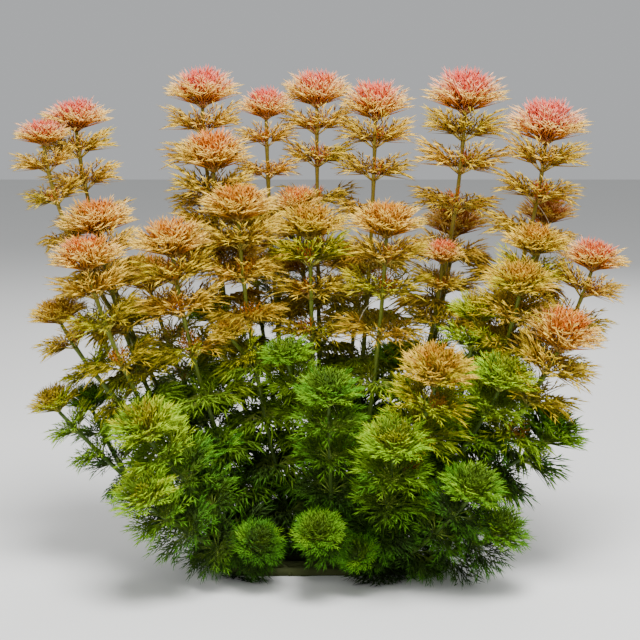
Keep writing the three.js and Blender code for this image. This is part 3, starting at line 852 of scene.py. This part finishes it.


# Looks

# Colours by warmth. The darkest greens at the low end, which the lowest leaves take, are partly painted shade
BODY_COLOURS = [
    (0.00, "121e03"), (0.12, "304a05"), (0.28, "5a7606"), (0.40, "7e7006"), (0.52, "a87402"),
    (0.66, "c27206"), (0.80, "ce6414"), (0.93, "d65636"), (1.00, "d65242"),
]
# Tips are paler than the leaf body: partly the young tips' own colour and partly a painted highlight
TIP_COLOURS = [
    (0.00, "26400a"), (0.12, "4c8c10"), (0.28, "9cc812"), (0.40, "ccb41c"), (0.52, "e8c048"),
    (0.66, "f4ca6c"), (0.80, "f7bc88"), (0.93, "f2a08c"), (1.00, "f09280"),
]
RIB_COLOURS = [
    (0.00, "56722c"), (0.12, "86a03c"), (0.28, "aaba4c"), (0.45, "b8a644"), (0.66, "bc8c46"),
    (0.85, "c28050"), (1.00, "cc8460"),
]
STALK_COLOURS = [
    (0.00, "2a4410"), (0.12, "506622"), (0.28, "6a7422"), (0.45, "746a1c"), (0.66, "8a7424"),
    (0.85, "9c7430"), (1.00, "ac7642"),
]
BARK_COLOUR = "3c4220"
ROOT_COLOUR = "d8d2b4"
FLOOR_COLOUR = "dcdcda"

# Where one colour fades to the next, from the foot of a leaf at 0 to its tips at 1, and round a stalk
LEAF_FADES = [(0.26, 0.52, "Leaf"), (0.64, 0.99, "Tip")]
STALK_FADES = [(0.5, 1.4, "Leaf")]

LEAF_ROUGHNESS = 0.7
STALK_ROUGHNESS = 0.45
BARK_ROUGHNESS = 0.8
ROOT_ROUGHNESS = 0.6
FLOOR_ROUGHNESS = 0.9
SHEEN = 0.2

# Where a mix node keeps its sockets for colours
FIRST_COLOUR = 6
SECOND_COLOUR = 7
MIXED_COLOUR = 2


def add_ramp(nodes, stops, name):
    """A colour ramp through its stops."""
    ramp = nodes.new("ShaderNodeValToRGB")
    ramp.label = name
    elements = ramp.color_ramp.elements
    for place, colour in stops[1:-1]:
        elements.new(place).color = linear(colour)
    elements[0].color = linear(stops[0][1])
    elements[len(elements) - 1].color = linear(stops[-1][1])
    return ramp


def leaf_tints():
    """Shared by leaves and stalks: the colours of stalk, leaf rib, leaf and leaf tip for a warmth."""
    group = bpy.data.node_groups.new("leaf_tints", "ShaderNodeTree")
    group.interface.new_socket("Warmth", in_out="INPUT", socket_type="NodeSocketFloat")
    for name in ("Stalk", "Rib", "Leaf", "Tip"):
        group.interface.new_socket(name, in_out="OUTPUT", socket_type="NodeSocketColor")
    given = group.nodes.new("NodeGroupInput")
    result = group.nodes.new("NodeGroupOutput")
    ramps = {"Stalk": STALK_COLOURS, "Rib": RIB_COLOURS, "Leaf": BODY_COLOURS, "Tip": TIP_COLOURS}
    for name, stops in ramps.items():
        ramp = add_ramp(group.nodes, stops, name)
        group.links.new(given.outputs["Warmth"], ramp.inputs["Fac"])
        group.links.new(ramp.outputs["Color"], result.inputs[name])
    return group


def add_mix(tree, low, high, share, first, second):
    """Fades from one colour to another as share passes from low to high."""
    fade = tree.nodes.new("ShaderNodeMapRange")
    fade.interpolation_type = "SMOOTHSTEP"
    fade.inputs["From Min"].default_value = low
    fade.inputs["From Max"].default_value = high
    mix = tree.nodes.new("ShaderNodeMix")
    mix.data_type = "RGBA"
    tree.links.new(share, fade.inputs["Value"])
    tree.links.new(fade.outputs["Result"], mix.inputs["Factor"])
    tree.links.new(first, mix.inputs[FIRST_COLOUR])
    tree.links.new(second, mix.inputs[SECOND_COLOUR])
    return mix.outputs[MIXED_COLOUR]


def new_material(name, roughness):
    """A material with its node tree and its shader."""
    material = bpy.data.materials.new(name)
    material.use_nodes = True
    shader = material.node_tree.nodes["Principled BSDF"]
    shader.inputs["Roughness"].default_value = roughness
    shader.inputs["Specular IOR Level"].default_value = SHEEN
    return material, material.node_tree, shader


def tinted_material(name, group, roughness, first, fades):
    """A material whose colour follows the piece's own map: warmth across, and from foot to tip along."""
    material, tree, shader = new_material(name, roughness)
    colour_map = tree.nodes.new("ShaderNodeUVMap")
    colour_map.uv_map = "OFBake"
    parts = tree.nodes.new("ShaderNodeSeparateXYZ")
    tree.links.new(colour_map.outputs["UV"], parts.inputs["Vector"])
    tint = tree.nodes.new("ShaderNodeGroup")
    tint.node_tree = group
    tree.links.new(parts.outputs["X"], tint.inputs["Warmth"])
    colour = tint.outputs[first]
    for low, high, following in fades:
        colour = add_mix(tree, low, high, parts.outputs["Y"], colour, tint.outputs[following])
    tree.links.new(colour, shader.inputs["Base Color"])
    return material


def plain_material(name, colour, roughness):
    """A material of one colour."""
    material, _, shader = new_material(name, roughness)
    shader.inputs["Base Color"].default_value = linear(colour)
    return material


tints = leaf_tints()
leaf_skin = tinted_material("feathery_leaf", tints, LEAF_ROUGHNESS, "Rib", LEAF_FADES)
stalk_skin = tinted_material("fleshy_stalk", tints, STALK_ROUGHNESS, "Stalk", STALK_FADES)
bark = plain_material("creeping_rootstock", BARK_COLOUR, BARK_ROUGHNESS)
pale_root = plain_material("pale_root", ROOT_COLOUR, ROOT_ROUGHNESS)

# The plant

grown_leaves = [leaf_template(GROWN_RAYS, NEEDLES, GROWN_FOOT) for _ in range(LEAF_KINDS)]
old_leaves = [leaf_template(OLD_RAYS, OLD_NEEDLES, GROWN_FOOT, OLD_THICKNESS) for _ in range(LEAF_KINDS)]
young_leaves = [leaf_template(YOUNG_RAYS, YOUNG_NEEDLES, YOUNG_FOOT) for _ in range(LEAF_KINDS)]
bud_leaves = [leaf_template(BUD_RAYS, NEEDLES, YOUNG_FOOT) for _ in range(LEAF_KINDS)]


def add_shoot(shoot, stems):
    """The pieces that stand in for one shoot's stem and its crown."""
    number = f"{shoot:02d}"
    stalks = stalk_piece(f"stalks_{number}", stems, stalk_skin)
    whorls, crown = Foliage(), Foliage()
    for stem in stems:
        for part, age in stem.nodes():
            add_whorl(whorls, stem, part, age)
        add_crown(whorls if stem.is_side else crown, stem, FLATTER_CROWNS.get(shoot, 1.0))
    leaves = whorls.piece(f"whorls_{number}", leaf_skin)
    young = crown.piece(f"crown_leaves_{number}", leaf_skin)
    roots = hanging_roots(f"hanging_roots_{number}", stems, pale_root)
    of_stem = [piece for piece in (stalks, leaves, roots) if piece]
    for piece in (*of_stem, young):
        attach(piece, "root")
    for piece in of_stem:
        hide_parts(f"stem_{number}")
    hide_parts(f"crown_{number}")


for shoot, stems in enumerate(grow_stems(), start=1):
    add_shoot(shoot, stems)

rootstock = rootstock_piece(bark)
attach(rootstock, "root")
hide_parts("rootstock")

# Floor, light and camera

# In metres and watts, but the lens and the camera's sensor in millimetres
FLOOR_REACH = 4
SKY_COLOUR = (0.86, 0.88, 0.9, 1)
SKY_STRENGTH = 0.55
TARGET = Vector((0, 0, 0.15))
CAMERA_DISTANCE = 0.9
CAMERA_ELEVATION = math.radians(8.7)
CAMERA_LENS = 84.375
CAMERA_SENSOR = 36


def look_at_target(viewer, place):
    """Puts a lamp or camera at a place and turns it to the plant's middle."""
    viewer.location = place
    viewer.rotation_euler = (TARGET - Vector(place)).to_track_quat("-Z", "Y").to_euler()


def add_floor():
    """A plain pale floor."""
    mesh = bpy.data.meshes.new("floor")
    bm = bmesh.new()
    bmesh.ops.create_grid(bm, x_segments=1, y_segments=1, size=FLOOR_REACH)
    bm.to_mesh(mesh)
    bm.free()
    mesh.materials.append(plain_material("pale_floor", FLOOR_COLOUR, FLOOR_ROUGHNESS))
    add_object("floor", mesh)


def add_sky():
    """Soft light from all around."""
    sky = bpy.data.worlds.new("studio")
    bpy.context.scene.world = sky
    sky.use_nodes = True
    background = sky.node_tree.nodes["Background"]
    background.inputs["Color"].default_value = SKY_COLOUR
    background.inputs["Strength"].default_value = SKY_STRENGTH


def add_light(name, place, size, power):
    """A soft square lamp."""
    light = bpy.data.lights.new(name, "AREA")
    light.size = size
    light.energy = power
    lamp = add_object(name, light)
    look_at_target(lamp, place)


def add_camera():
    """The camera, at the photo's angle."""
    camera = add_object("camera", bpy.data.cameras.new("camera"))
    camera.data.lens = CAMERA_LENS
    camera.data.sensor_width = CAMERA_SENSOR
    away = Vector((0, -math.cos(CAMERA_ELEVATION), math.sin(CAMERA_ELEVATION)))
    look_at_target(camera, TARGET + CAMERA_DISTANCE * away)
    bpy.context.scene.camera = camera


add_floor()
add_sky()
add_light("top_light", (0.1, -0.4, 1.05), size=0.5, power=24)
add_light("front_light", (-0.7, -1.1, 0.7), size=0.8, power=8)
add_light("back_light", (0.3, 1.0, 0.9), size=0.8, power=10)
add_camera()
